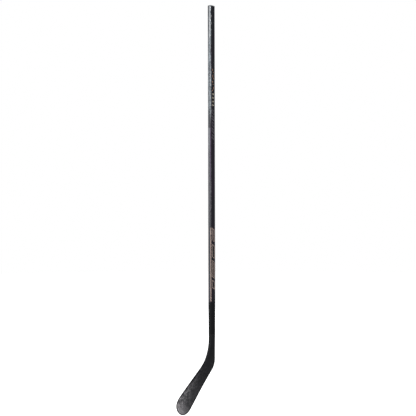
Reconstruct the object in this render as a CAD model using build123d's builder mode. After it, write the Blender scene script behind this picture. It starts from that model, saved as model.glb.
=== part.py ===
"""Right-handed composite ice hockey stick: a hollow shaft bonded to a moulded blade.

Frame: the origin is the point where the shaft's centreline meets the blade's sole. +Z runs up the
shaft to the butt end, -X points to the toe and -Y is the forehand side. Millimetres.
"""

from build123d import *
from dataclasses import dataclass
from math import atan, cos, radians, sin, sqrt
import os

os.makedirs("parts", exist_ok=True)

# ---------------------------------------------------------------- driving dimensions

butt_height = 1570.0  # from the sole to the butt end, along the shaft
lie_angle = 135.0  # between the shaft and the sole

shaft_width = 29.5  # across X: the wide faces are parallel to the blade
shaft_depth = 19.0  # across Y, above the taper
shaft_corner = 5.0
shaft_wall = 1.8
hosel_depth = 17.5  # depth of the shaft and of the hosel where they meet
taper_length = 140.0  # the shaft thins from shaft_depth to hosel_depth over this length
joint_height = 147.0  # from the sole to the joint of shaft and hosel

blade_reach = 263.0  # along the sole, from the origin to the tip of the toe
heel_height = 53.0  # blade height above the origin
toe_height = 75.5  # blade height where the toe's rounding starts
toe_rounding = 58.0  # length of the rounded toe
toe_fullness = 2.2  # exponent of the toe's outline: 2 is an ellipse
tip_share = 0.47  # height of the tip as a share of the blade's height
toe_thickness = 6.0  # at the sole
top_thinning = 0.25  # the top edge is thinner than the sole by this share at the toe
nose_round = 3.0  # length over which the blade rounds off at the tip
neck_radius = 168.0  # front of the hosel, into the top edge
heel_radius = 62.0
curve_depth = 15.0  # how far the toe curves to the forehand side
toe_twist = 14.0  # how far the face opens at the toe, in degrees
rocker_start = 110.0  # the sole rises towards the toe from here
rocker_radius = 5000.0
sole_trim = 0.6  # planed off the moulding, so that the sole is flat

skin = 1.2  # thickness of each carbon face
wrap_width = 2.6  # carbon edge wrap round the blade
sole_wrap_width = 5.0  # the wrap is deeper on the sole, which wears
bridge_thickness = 1.6
bridge_share = 0.46  # height of the bridge as a share of the blade's height
heel_core_past = 8.0  # how far past the neck's arc the heel core ends
toe_core_length = 52.0
hosel_height = 85.0  # the blade's faces end and the hosel's tube starts here

hosel_wall = 2.05
tenon_root = 30.0  # how deep the tenon goes into the hosel
tenon_length = 65.0  # and into the shaft
tenon_wall = 2.0
glue_gap = 0.25  # adhesive between tenon and shaft
bead_height = 0.9  # filler bead that shows at the joint
bead_recess = 0.35
stop_plug_length = 18.0

cap_flange = 3.0
cap_edge = 0.9
cap_length = 32.0  # how deep the cap goes into the shaft
cap_wall = 1.7
cap_glue_gap = 0.2

film = 0.15  # thickness of each printed film, let in flush
wide_film_width = 16.5
side_film_width = 7.0
lower_print_gap = 4.0  # from the taper up to the lower films, on the wide faces
lower_print_length = 320.0
upper_print_gap = 244.0  # from the butt end down to the upper films, on the wide and narrow faces
upper_print_length = 358.0
side_print_length = 286.0

# ---------------------------------------------------------------- outline in the blade's plane

# Points in the blade's plane are (u, z): u towards the toe, z up the shaft.
turn = radians(180.0 - lie_angle)
along_dir = (sin(turn), -cos(turn))  # along the sole, to the toe
up_dir = (cos(turn), sin(turn))  # square to the sole, to the top edge
half_width = shaft_width / 2
toe_start = blade_reach - toe_rounding
height_slope = (toe_height - heel_height) / toe_start


def blade_height(along):
    """Height of the blade at a distance along the sole."""
    return heel_height + height_slope * along


def on_blade(along, height):
    """(u, z) of a point given along the sole and square to it."""
    return (
        along * along_dir[0] + height * up_dir[0],
        along * along_dir[1] + height * up_dir[1],
    )


def distance_along(point):
    """How far along the sole a (u, z) point is."""
    return point[0] * along_dir[0] + point[1] * along_dir[1]


# The neck's arc touches the front of the shaft and the top edge.
top_angle = turn + atan(height_slope)
pivot_u = half_width + neck_radius
top_root = on_blade(0, heel_height)
pivot_z = top_root[1] + (neck_radius - (pivot_u - top_root[0]) * cos(top_angle)) / sin(top_angle)
fan_end = distance_along((pivot_u, pivot_z))

# The heel's arc touches the back of the shaft and the sole.
heel_u = heel_radius - half_width
heel_z = (heel_radius - heel_u * up_dir[0]) / up_dir[1]


def reach_below(angle):
    """Distance from the neck's pivot to the outline below it, along a ray at an angle."""
    ray = (-cos(angle), -sin(angle))
    to_back = (pivot_u + half_width) / cos(angle)
    if pivot_z + to_back * ray[1] >= heel_z:
        return to_back
    fall = ray[0] * up_dir[0] + ray[1] * up_dir[1]
    to_sole = -(pivot_u * up_dir[0] + pivot_z * up_dir[1]) / fall
    hit = (pivot_u + to_sole * ray[0], pivot_z + to_sole * ray[1])
    if distance_along(hit) >= distance_along((heel_u, heel_z)):
        return to_sole
    back = (pivot_u - heel_u, pivot_z - heel_z)
    half = back[0] * ray[0] + back[1] * ray[1]
    return -half + sqrt(half**2 - back[0] ** 2 - back[1] ** 2 + heel_radius**2)


# ---------------------------------------------------------------- stations of the blade

straight_travel = joint_height - pivot_z
fan_travel = turn * (neck_radius + half_width)
total_travel = straight_travel + fan_travel + blade_reach - fan_end


@dataclass
class Station:
    """One cross-section: local x runs from the back or the sole to the top edge, y across."""

    base: tuple  # (u, z) of local x = 0
    ray: tuple  # direction of local x before the twist, in (u, z)
    height: float  # full height, over which the thickness changes
    low: float  # where the section starts and ends on local x
    high: float
    travel: float  # distance from the joint, along the stick
    nose: float = 1.0  # share of the thickness that is left at the tip

    def reach_share(self):
        return max(0.0, distance_along(self.base)) / blade_reach

    def thickness(self, x):
        left = 1 - self.travel / total_travel
        at_base = toe_thickness + (hosel_depth - toe_thickness) * left**2
        return at_base * (1 - top_thinning * (1 - left) * x / self.height) * self.nose

    def plane(self):
        """Plane of the section, which carries the blade's curve and twist."""
        lean = radians(toe_twist) * self.reach_share()
        x_dir = (-self.ray[0] * cos(lean), sin(lean), self.ray[1] * cos(lean))
        side = -curve_depth * self.reach_share() ** 2
        origin = (-self.base[0], side, self.base[1])
        return Plane(origin=origin, x_dir=x_dir, z_dir=(self.ray[1], 0, self.ray[0]))


def level_station(height):
    """A station square to the shaft."""
    return Station((-half_width, height), (1, 0), shaft_width, 0, shaft_width, joint_height - height)


def fan_station(angle):
    """A station on a ray from the neck's pivot."""
    ray = (cos(angle), sin(angle))
    reach = reach_below(angle)
    base = (pivot_u - reach * ray[0], pivot_z - reach * ray[1])
    high = reach - neck_radius
    travel = straight_travel + angle * (neck_radius + half_width)
    return Station(base, ray, high, -sole_trim * angle / turn, high, travel)


def blade_station(along, inset=0.0, sole_inset=0.0):
    """A station square to the sole. The insets draw in its top and toe, and its sole."""
    past = max(0.0, along - toe_start) / (toe_rounding - inset)
    full = max(0.0, 1 - past**toe_fullness) ** (1 / toe_fullness)
    tall = blade_height(along)
    rise = max(0.0, along - rocker_start) ** 2 / (2 * rocker_radius)
    low = rise + sole_inset - sole_trim
    high = tall - inset
    middle = low + tip_share * (high - low)
    from_tip = min(1.0, max(0.0, blade_reach - along) / nose_round)
    return Station(
        base=on_blade(along, 0),
        ray=up_dir,
        height=tall,
        low=middle - full * (middle - low),
        high=middle + full * (high - middle),
        travel=straight_travel + fan_travel + along - fan_end,
        nose=sqrt(1 - (1 - from_tip) ** 2),
    )


def section(station, low, high, shrink=0.0, rounded=False):
    """Sketch of a station's section from low to high, thinner by shrink on each side."""
    half_low = station.thickness(low) / 2 - shrink
    half_high = station.thickness(high) / 2 - shrink
    with BuildSketch(station.plane()) as outline:
        with BuildLine():
            Polyline((low, -half_low), (high, -half_high), (high, half_high), (low, half_low), close=True)
        make_face()
        if rounded:
            fillet(vertices(), 2 * min(half_low, half_high) * shaft_corner / hosel_depth)
    return outline.sketch


fan_steps = 7
blade_steps = 4
toe_angles = (0, 18, 34, 48, 60, 70, 78, 83, 86.5)  # of the toe's ellipse, in degrees

neck_stations = [level_station(joint_height), level_station(pivot_z)]
neck_stations += [fan_station(turn * step / fan_steps) for step in range(1, fan_steps + 1)]
blade_alongs = [fan_end + (toe_start - fan_end) * n / (blade_steps + 1) for n in range(1, blade_steps + 1)]
toe_alongs = [toe_start + toe_rounding * sin(radians(angle)) for angle in toe_angles]
moulding_stations = neck_stations + [blade_station(along) for along in blade_alongs + toe_alongs]

# ---------------------------------------------------------------- forms that the pieces are cut from

# The whole moulding, from the joint to the tip of the toe.
with BuildPart() as moulding:
    loft([section(s, s.low, s.high, rounded=True) for s in moulding_stations])
    split(bisect_by=Plane(origin=(0, 0, 0), z_dir=(-up_dir[0], 0, up_dir[1])), keep=Keep.TOP)

# The space between the carbon faces, larger than the blade all round.
margin = 12.0
slab_alongs = blade_alongs + toe_alongs[:-3] + [blade_reach + margin]


def open_station(along):
    """A station of the blade without the rounding of the toe."""
    station = blade_station(along)
    station.nose = 1.0
    return station


with BuildPart() as slab:
    slab_stations = neck_stations[1:] + [open_station(along) for along in slab_alongs]
    loft([section(s, -margin, s.height + margin, skin) for s in slab_stations])

# The blade's outline less the edge wrap, thicker than the blade.
with BuildPart() as inner_outline:
    inner_sections = []
    for step, station in enumerate(neck_stations[1:]):
        low_wrap = wrap_width + (sole_wrap_width - wrap_width) * step / fan_steps
        inner_sections.append(section(station, station.low + low_wrap, station.high - wrap_width, -margin))
    inset_toe = [toe_start + (toe_rounding - wrap_width) * sin(radians(angle)) for angle in toe_angles[:-1]]
    for along in blade_alongs + inset_toe:
        station = blade_station(along, wrap_width, sole_wrap_width)
        inner_sections.append(section(station, station.low, station.high, -margin))
    loft(inner_sections)

# A thin web at a share of the blade's height, thicker across than the blade.
with BuildPart() as web:
    web_sections = []
    for along in [fan_end] + blade_alongs + [toe_start, blade_reach]:
        station = open_station(along)
        middle = bridge_share * station.height
        half_web = bridge_thickness / 2
        web_sections.append(section(station, middle - half_web, middle + half_web, -margin))
    loft(web_sections)

hosel_plane = Plane.XY.offset(hosel_height)


def across_sole(along):
    """Plane square to the sole, facing the toe."""
    u, z = on_blade(along, 0)
    return Plane(origin=(-u, 0, z), z_dir=(-along_dir[0], 0, along_dir[1]))


# ---------------------------------------------------------------- edge wrap and faces of the blade

with BuildPart() as blade_blank:
    add(moulding)
    split(bisect_by=hosel_plane, keep=Keep.BOTTOM)

with BuildPart() as edge_wrap:
    add(blade_blank)
    add(inner_outline, mode=Mode.SUBTRACT)
edge_wrap.part.label = "edge_wrap"

with BuildPart() as panel:
    add(blade_blank)
    add(inner_outline, mode=Mode.INTERSECT)

with BuildPart() as blade_faces:
    add(panel)
    add(slab, mode=Mode.SUBTRACT)

with BuildPart() as forehand_face:
    add(blade_faces.solids().sort_by(Axis.Y)[0])
forehand_face.part.label = "forehand_face"

with BuildPart() as backhand_face:
    add(blade_faces.solids().sort_by(Axis.Y)[-1])
backhand_face.part.label = "backhand_face"

# ---------------------------------------------------------------- cores of the blade

heel_core_end = fan_end + heel_core_past
toe_core_start = blade_reach - wrap_width - toe_core_length

with BuildPart() as core_space:
    add(panel)
    add(slab, mode=Mode.INTERSECT)

with BuildPart() as heel_core:
    add(core_space)
    split(bisect_by=across_sole(heel_core_end), keep=Keep.BOTTOM)
heel_core.part.label = "heel_core"

with BuildPart() as toe_core:
    add(core_space)
    split(bisect_by=across_sole(toe_core_start), keep=Keep.TOP)
toe_core.part.label = "toe_core"

with BuildPart() as middle_space:
    add(core_space)
    split(bisect_by=across_sole(heel_core_end), keep=Keep.TOP)
    split(bisect_by=across_sole(toe_core_start), keep=Keep.BOTTOM)

with BuildPart() as bridge:
    add(middle_space)
    add(web, mode=Mode.INTERSECT)
bridge.part.label = "bridge"

with BuildPart() as long_cores:
    add(middle_space)
    add(web, mode=Mode.SUBTRACT)

square_to_sole = Axis((0, 0, 0), (-up_dir[0], 0, up_dir[1]))

with BuildPart() as lower_core:
    add(long_cores.solids().sort_by(square_to_sole)[0])
lower_core.part.label = "lower_core"

with BuildPart() as upper_core:
    add(long_cores.solids().sort_by(square_to_sole)[-1])
upper_core.part.label = "upper_core"

# ---------------------------------------------------------------- depths and insides of the neck and shaft

shaft_start = joint_height + bead_height
shaft_end = butt_height - cap_flange


def depth_at(height):
    """Outer depth of the stick on the shaft's centreline."""
    if height >= shaft_start:
        return hosel_depth + (shaft_depth - hosel_depth) * min(1.0, (height - shaft_start) / taper_length)
    if height >= pivot_z:
        return level_station(height).thickness(half_width)
    return fan_station(atan((pivot_z - height) / pivot_u)).thickness(half_width)


def rounded_section(height, inset):
    """Sketch of the stick's section at a height, drawn in by an inset."""
    with BuildSketch(Plane.XY.offset(height)) as outline:
        RectangleRounded(shaft_width - 2 * inset, depth_at(height) - 2 * inset, shaft_corner - inset)
    return outline.sketch


bore_inset = shaft_wall
tenon_inset = shaft_wall + glue_gap
tenon_base = joint_height - tenon_root
tenon_top = joint_height + tenon_length
taper_top = shaft_start + taper_length

# ---------------------------------------------------------------- hosel, tenon and what fills them

with BuildPart() as tenon_body:
    loft([rounded_section(tenon_base, hosel_wall), rounded_section(joint_height, tenon_inset)])
    loft([rounded_section(joint_height, tenon_inset), rounded_section(shaft_start, tenon_inset)])
    loft([rounded_section(shaft_start, tenon_inset), rounded_section(tenon_top, tenon_inset)])

with BuildPart() as tenon:
    add(tenon_body)
    bore_sections = [rounded_section(tenon_base, hosel_wall + tenon_wall)]
    bore_sections += [rounded_section(tenon_top, tenon_inset + tenon_wall)]
    loft(bore_sections, mode=Mode.SUBTRACT)
tenon.part.label = "tenon"

with BuildPart() as hosel_core:
    loft([rounded_section(hosel_height, hosel_wall), rounded_section(tenon_base, hosel_wall)])
hosel_core.part.label = "hosel_core"

with BuildPart() as hosel:
    add(moulding)
    split(bisect_by=hosel_plane, keep=Keep.TOP)
    add(hosel_core, mode=Mode.SUBTRACT)
    add(tenon_body, mode=Mode.SUBTRACT)
hosel.part.label = "hosel"

with BuildPart() as joint_bead:
    loft([rounded_section(joint_height, bead_recess), rounded_section(shaft_start, bead_recess)])
    add(tenon_body, mode=Mode.SUBTRACT)
joint_bead.part.label = "joint_bead"

with BuildPart() as tenon_glue:
    loft([rounded_section(shaft_start, bore_inset), rounded_section(tenon_top, bore_inset)])
    add(tenon_body, mode=Mode.SUBTRACT)
tenon_glue.part.label = "tenon_glue"

with BuildPart() as stop_plug:
    loft([rounded_section(tenon_top, bore_inset), rounded_section(tenon_top + stop_plug_length, bore_inset)])
stop_plug.part.label = "stop_plug"

# ---------------------------------------------------------------- printed films


def film_on(side, width, length, top):
    """A film let in flush on one face of the shaft: side is -Y, +Y, -X or +X as a unit pair."""
    face = (side[0] * half_width, side[1] * shaft_depth / 2, top - length / 2)
    with BuildPart() as strip:
        with BuildSketch(Plane(origin=face, x_dir=(0, 0, 1), z_dir=(side[0], side[1], 0))):
            Rectangle(length, width)
        extrude(amount=-film)
    return strip.part


lower_top = taper_top + lower_print_gap + lower_print_length
upper_top = butt_height - upper_print_gap
forehand, backhand, front, back = (0, -1), (0, 1), (-1, 0), (1, 0)
films = {
    "lower_print_forehand": film_on(forehand, wide_film_width, lower_print_length, lower_top),
    "lower_print_backhand": film_on(backhand, wide_film_width, lower_print_length, lower_top),
    "upper_print_forehand": film_on(forehand, wide_film_width, upper_print_length, upper_top),
    "upper_print_backhand": film_on(backhand, wide_film_width, upper_print_length, upper_top),
    "side_print_front": film_on(front, side_film_width, side_print_length, upper_top),
    "side_print_back": film_on(back, side_film_width, side_print_length, upper_top),
}

# ---------------------------------------------------------------- shaft and butt cap

with BuildPart() as shaft:
    loft([rounded_section(shaft_start, 0), rounded_section(taper_top, 0)])
    extrude(rounded_section(taper_top, 0), amount=shaft_end - taper_top)
    loft([rounded_section(shaft_start, bore_inset), rounded_section(taper_top, bore_inset)], mode=Mode.SUBTRACT)
    extrude(rounded_section(taper_top, bore_inset), amount=shaft_end - taper_top, mode=Mode.SUBTRACT)
    for strip in films.values():
        add(strip, mode=Mode.SUBTRACT)
shaft.part.label = "shaft"

cap_inset = bore_inset + cap_glue_gap

with BuildPart() as butt_cap:
    extrude(rounded_section(shaft_end, 0), amount=cap_flange)
    fillet(edges().group_by(Axis.Z)[-1], cap_edge)
    extrude(rounded_section(shaft_end, cap_inset), amount=-cap_length)
    hollow = rounded_section(shaft_end, cap_inset + cap_wall)
    extrude(hollow, amount=-cap_length, mode=Mode.SUBTRACT)
butt_cap.part.label = "butt_cap"

with BuildPart() as cap_glue:
    extrude(rounded_section(shaft_end, bore_inset), amount=-cap_length)
    extrude(rounded_section(shaft_end, cap_inset), amount=-cap_length, mode=Mode.SUBTRACT)
cap_glue.part.label = "cap_glue"

# ---------------------------------------------------------------- export

pieces = [
    shaft,
    butt_cap,
    cap_glue,
    stop_plug,
    tenon,
    tenon_glue,
    joint_bead,
    hosel,
    hosel_core,
    forehand_face,
    backhand_face,
    edge_wrap,
    heel_core,
    lower_core,
    upper_core,
    bridge,
    toe_core,
]
for piece in pieces:
    export_step(piece.part, f"parts/{piece.part.label}.step")

for name, strip in films.items():
    strip.label = name
    export_step(strip, f"parts/{name}.step")
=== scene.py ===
# %% [markdown]
# # An ice hockey stick, finished in Blender
#
# The stick is a hollow carbon shaft bonded to a moulded blade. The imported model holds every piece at
# its real size and place, so the lesson loads it as a fixed frame and gives each piece the skin, the
# print and the finish of the real one. Sizes are in metres. +Z runs up the shaft, -X points to the toe
# and -Y is the forehand side.

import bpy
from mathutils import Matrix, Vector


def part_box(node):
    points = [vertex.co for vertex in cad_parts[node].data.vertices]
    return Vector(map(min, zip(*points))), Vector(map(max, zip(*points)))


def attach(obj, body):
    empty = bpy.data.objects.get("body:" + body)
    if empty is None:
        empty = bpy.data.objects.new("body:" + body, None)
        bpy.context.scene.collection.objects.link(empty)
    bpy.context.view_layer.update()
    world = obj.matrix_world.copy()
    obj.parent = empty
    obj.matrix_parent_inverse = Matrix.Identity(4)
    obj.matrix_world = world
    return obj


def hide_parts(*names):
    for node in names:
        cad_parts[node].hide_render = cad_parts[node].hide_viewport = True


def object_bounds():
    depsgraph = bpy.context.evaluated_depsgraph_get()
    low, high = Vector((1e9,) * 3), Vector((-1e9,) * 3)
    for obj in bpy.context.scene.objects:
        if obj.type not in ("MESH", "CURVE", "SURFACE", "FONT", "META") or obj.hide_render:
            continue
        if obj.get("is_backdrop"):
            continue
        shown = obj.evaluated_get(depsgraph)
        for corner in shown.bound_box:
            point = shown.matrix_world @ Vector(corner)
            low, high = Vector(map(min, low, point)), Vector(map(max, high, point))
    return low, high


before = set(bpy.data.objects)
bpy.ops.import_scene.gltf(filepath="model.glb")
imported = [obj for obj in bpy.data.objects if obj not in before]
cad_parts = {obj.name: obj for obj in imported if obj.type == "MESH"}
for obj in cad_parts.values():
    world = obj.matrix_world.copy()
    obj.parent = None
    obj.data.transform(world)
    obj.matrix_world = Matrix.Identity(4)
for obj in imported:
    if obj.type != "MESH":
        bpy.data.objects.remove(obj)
cad_box = [list(corner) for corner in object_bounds()]

import math

import bmesh
import bpy
from mathutils import Matrix, Vector

mm = 0.001
print("nodes:", ", ".join(sorted(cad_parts)))
print("size in mm:", [round((high - low) / mm, 1) for low, high in zip(*cad_box)])

# %% [markdown]
# ## The sizes that the shapes need
#
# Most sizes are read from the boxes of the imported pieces, so that what is made here follows them. A
# box says nothing about curves, so the sizes of the blade's drawing are written as its maker would
# give them: the lie between shaft and sole, the radius of neck and heel, how deep the face curves and
# how far it opens.

# %% Sizes from the frame, and the blade's drawing
shaft_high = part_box("shaft")[1]
lowest_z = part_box("edge_wrap")[0].z

half_width = shaft_high.x
half_depth = shaft_high.y
joint_z, shaft_start = (corner.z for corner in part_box("joint_bead"))
shaft_end = shaft_high.z
cap_foot, butt_z = (corner.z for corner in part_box("butt_cap"))
hosel_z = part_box("hosel")[0].z

turn = math.radians(45)  # between the shaft and the sole
shaft_corner = 5 * mm
shaft_wall = 1.8 * mm
hosel_depth = 17.5 * mm
taper_length = 140 * mm
blade_reach = 263 * mm  # along the sole, from the shaft's line to the tip
heel_height = 53 * mm
toe_height = 75.5 * mm
toe_rounding = 58 * mm
toe_fullness = 2.2
tip_share = 0.47
toe_thickness = 6 * mm
top_thinning = 0.25
neck_radius = 168 * mm
heel_radius = 62 * mm
curve_depth = 15 * mm
toe_twist = math.radians(14)
rocker_start = 110 * mm
rocker_radius = 5.0
skin = 1.2 * mm
wrap_width = 2.6 * mm
sole_wrap_width = 4.4 * mm

print("shaft", round((shaft_end - shaft_start) / mm, 1), "mm long, joint at", round(joint_z / mm, 1))

# %% [markdown]
# ## Camera
#
# A long lens a few metres away keeps the shaft's sides parallel. The camera is turned from the
# forehand side towards the toe, so that the narrow front face and the wide forehand face are both
# seen. A small vertical shift frames the stick without tilting the lens.

# %% Camera
camera_distance = 3.907
camera_azimuth = math.radians(-48.7)
camera_roll = math.radians(-0.12)
camera_height = 0.674
camera_aside = -0.0158  # to the left of the shaft's line

back = Vector((math.sin(camera_azimuth), -math.cos(camera_azimuth), 0))
right = Vector((math.cos(camera_azimuth), math.sin(camera_azimuth), 0))
camera_data = bpy.data.cameras.new("camera")
camera_data.lens = 78.1
camera_data.sensor_width = 36
camera_data.shift_y = 0.0115
camera = bpy.data.objects.new("camera", camera_data)
camera.location = back * camera_distance + right * camera_aside + Vector((0, 0, camera_height))
level = Matrix.Rotation(camera_azimuth, 3, "Z") @ Matrix.Rotation(math.pi / 2, 3, "X")
camera.rotation_euler = (level @ Matrix.Rotation(camera_roll, 3, "Z")).to_euler()
bpy.context.scene.collection.objects.link(camera)
bpy.context.scene.camera = camera
print("camera at", [round(v, 3) for v in camera.location])

# %% [markdown]
# ## Floor and light
#
# The stick stands on its toe on white paper. Dark gloss shows its shape through what it mirrors: two
# panels at the left for the narrow front face, one high at the camera and one overhead. The panels in
# front, at the right and behind only light the faces. The sky is white to the camera but dim as a
# light, so the carbon stays dark.

# %% Panels
bpy.context.scene.view_settings.view_transform = "Standard"


def soft_panel(name, place, aim, width, height, power, colour=(1, 1, 1), mirrored=True):
    """A rectangular area light at a place, facing a point. mirrored says if gloss shows it."""
    data = bpy.data.lights.new(name, "AREA")
    data.shape = "RECTANGLE"
    data.size = width
    data.size_y = height
    data.energy = power
    data.color = colour
    panel = bpy.data.objects.new(name, data)
    panel.location = place
    panel.rotation_euler = (Vector(aim) - Vector(place)).to_track_quat("-Z", "Y").to_euler()
    panel.visible_glossy = mirrored
    bpy.context.scene.collection.objects.link(panel)


def beside(to_right, to_camera, height):
    """A place given from the shaft's foot: to the right of the view, towards the camera, and up."""
    return right * to_right + back * to_camera + Vector((0, 0, height))


cool = (0.88, 0.95, 1.0)
whole = beside(0, 0, 0.6)
soft_panel("left_panel", beside(-2.4, 0.2, 1.5), beside(0, 0, 1.2), 0.8, 0.8, 6, cool)
soft_panel("tall_left_panel", beside(-2.6, 0.3, 0.8), beside(0, 0, 0.8), 1.2, 2.8, 9, cool)
soft_panel("right_panel", beside(2.4, 1.2, 1.0), beside(0, 0, 0.3), 1.2, 1.6, 18, mirrored=False)
soft_panel("back_panel", beside(0.9, -3.6, 1.3), whole, 1.6, 2.2, 25, mirrored=False)
soft_panel("camera_panel", beside(0.1, 3.6, 2.35), beside(0, 0, 1.0), 0.6, 0.6, 45)
soft_panel("front_panel", beside(-0.2, 3.9, 0.9), whole, 1.6, 2.4, 130, mirrored=False)
soft_panel("top_panel", beside(0, 0, 4.0), beside(0, 0, 0), 3.0, 3.0, 60)
print("panels:", len(bpy.data.lights))

# %% Sky and floor
world = bpy.data.worlds.new("studio")
bpy.context.scene.world = world
world.use_nodes = True
sky = world.node_tree.nodes
sky.clear()


def background(colour, strength):
    """One of the sky's two backgrounds."""
    node = sky.new("ShaderNodeBackground")
    node.inputs["Color"].default_value = (*colour, 1)
    node.inputs["Strength"].default_value = strength
    return node.outputs[0]


rays = sky.new("ShaderNodeLightPath")
either = sky.new("ShaderNodeMixShader")
sky_out = sky.new("ShaderNodeOutputWorld")
links = world.node_tree.links
links.new(rays.outputs["Is Camera Ray"], either.inputs[0])
links.new(background((0.9, 0.95, 1), 0.10), either.inputs[1])
links.new(background((1, 1, 1), 1.0), either.inputs[2])
links.new(either.outputs[0], sky_out.inputs[0])

floor_radius = 9.0
floor_gap = 0.2 * mm  # below the toe's lowest point
floor_mesh = bpy.data.meshes.new("floor")
floor_shape = bmesh.new()
bmesh.ops.create_circle(floor_shape, cap_ends=True, segments=96, radius=floor_radius)
floor_shape.to_mesh(floor_mesh)
floor_shape.free()
floor = bpy.data.objects.new("floor", floor_mesh)
floor.location = (0, 0, lowest_z - floor_gap)
floor.visible_glossy = False
floor.visible_diffuse = False
bpy.context.scene.collection.objects.link(floor)
floor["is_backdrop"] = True
print("floor at", round(floor.location.z / mm, 1), "mm")

# %% [markdown]
# ## Shader sums
#
# A finish such as woven carbon is mostly arithmetic. The small class below wraps one socket, so that
# a line like `1 - mask * 0.5` reads like the sum that it is: each operator adds a Math node, and
# `node` adds any other node.


# %% A socket that Python can do sums with
def sum_node(operation, swapped=False):
    """A method that adds one Math node, with the wire itself first or, swapped, second."""

    def method(self, other=0.0):
        first, second = (other, self) if swapped else (self, other)
        return self.node("Math", {"operation": operation}, {0: first, 1: second})

    return method


class Wire:
    """One socket of a material. Sums add Math nodes; node() adds any other node."""

    def __init__(self, tree, socket=None):
        self.tree = tree
        self.socket = socket

    def node(self, kind, settings=None, inputs=None, output=0):
        """Adds a node: its settings first, then the values or wires of its sockets."""
        made = self.tree.nodes.new("ShaderNode" + kind)
        for key, value in (settings or {}).items():
            setattr(made, key, value)
        for key, value in (inputs or {}).items():
            if isinstance(value, Wire):
                self.tree.links.new(value.socket, made.inputs[key])
            else:
                made.inputs[key].default_value = value
        return Wire(self.tree, made.outputs[output])

    __add__ = sum_node("ADD")
    __radd__ = sum_node("ADD", swapped=True)
    __sub__ = sum_node("SUBTRACT")
    __rsub__ = sum_node("SUBTRACT", swapped=True)
    __mul__ = sum_node("MULTIPLY")
    __rmul__ = sum_node("MULTIPLY", swapped=True)
    __truediv__ = sum_node("DIVIDE")
    __mod__ = sum_node("FLOORED_MODULO")
    __lt__ = sum_node("LESS_THAN")
    __gt__ = sum_node("GREATER_THAN")
    __abs__ = sum_node("ABSOLUTE")
    floor = sum_node("FLOOR")
    sine = sum_node("SINE")
    least = sum_node("MINIMUM")
    most = sum_node("MAXIMUM")

    def fade(self, start, end):
        """0 at start, 1 at end, smooth between them."""
        ends = {"Value": self, "From Min": start, "From Max": end}
        return self.node("MapRange", {"interpolation_type": "SMOOTHSTEP"}, ends)

    def mix(self, first, second):
        """The first colour where this is 0, the second where it is 1."""
        first, second = (c if isinstance(c, Wire) else (*c, 1) for c in (first, second))
        return self.node("Mix", {"data_type": "RGBA"}, {0: self, 6: first, 7: second}, output=2)

    def xyz(self):
        return [self.node("SeparateXYZ", None, {0: self}, output=axis) for axis in range(3)]


def vector(x, y, z):
    """Joins three values, at least one of them a wire, into a vector."""
    maker = next(v for v in (x, y, z) if isinstance(v, Wire))
    return maker.node("CombineXYZ", None, {0: x, 1: y, 2: z})


def noise(place, scale, detail=3.0, roughness=0.5):
    """Soft noise from 0 to 1 at a place that is in millimetres."""
    inputs = {"Vector": place, "Scale": scale, "Detail": detail, "Roughness": roughness}
    return place.node("TexNoise", None, inputs)


def cells(place, scale, randomness, output=0):
    """Rounded cells: output 0 is the distance to a cell's middle, output 1 a colour of its own."""
    inputs = {"Vector": place, "Scale": scale, "Randomness": randomness}
    return place.node("TexVoronoi", {"feature": "F1"}, inputs, output)


print("Wire is ready")

# %% [markdown]
# Each finish is one function. `begin` makes a material and hands back the place of the surface point
# in millimetres. `end` sets the shader's sockets, with wires for what changes over the surface and
# plain values for the rest.


# %% Begin and end a material
def begin(name):
    """A new material, and the place of a surface point in millimetres."""
    material = bpy.data.materials.new(name)
    material.use_nodes = True
    tree = material.node_tree
    tree.nodes.clear()
    start = Wire(tree)
    place = start.node("TexCoord", output=3)
    place = start.node("VectorMath", {"operation": "SCALE"}, {0: place, "Scale": 1 / mm})
    return material, place


def end(material, colour, roughness, height=None, relief=0.1, **sockets):
    """Joins colour, roughness and bump to the shader. relief is the bump's depth in millimetres."""
    values = {"Base Color": colour, "Roughness": roughness}
    for key, value in sockets.items():
        values[key.replace("_", " ").title().replace("Ior", "IOR")] = value
    if height is not None:
        bump = {"Strength": 1.0, "Distance": relief * mm, "Height": height}
        values["Normal"] = height.node("Bump", None, bump)
    shader = colour.node("BsdfPrincipled", None, values)
    output = material.node_tree.nodes.new("ShaderNodeOutputMaterial")
    material.node_tree.links.new(shader.socket, output.inputs[0])
    return material


def floor_paper():
    """Pale seamless studio paper, with a glow of its own that stands for the lamps under it."""
    material, place = begin("floor_paper")
    grain = noise(place, 0.02, 2.0)
    colour = grain.mix((0.88, 0.88, 0.88), (0.92, 0.92, 0.92))
    return end(material, colour, 0.9, emission_color=(1, 1, 1, 1), emission_strength=0.97)


floor.data.materials.append(floor_paper())
print("materials:", len(bpy.data.materials))

# %% [markdown]
# ## Meshes from rings
#
# Nearly every piece is a tube of some section, so one helper joins rings of points into quads. A tube
# with a bore is the outside rings upwards and the bore's rings downwards, joined end to start.


# %% Ring, slab and object helpers
merge_distance = 0.001 * mm
crisp_angle = math.radians(30)


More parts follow.
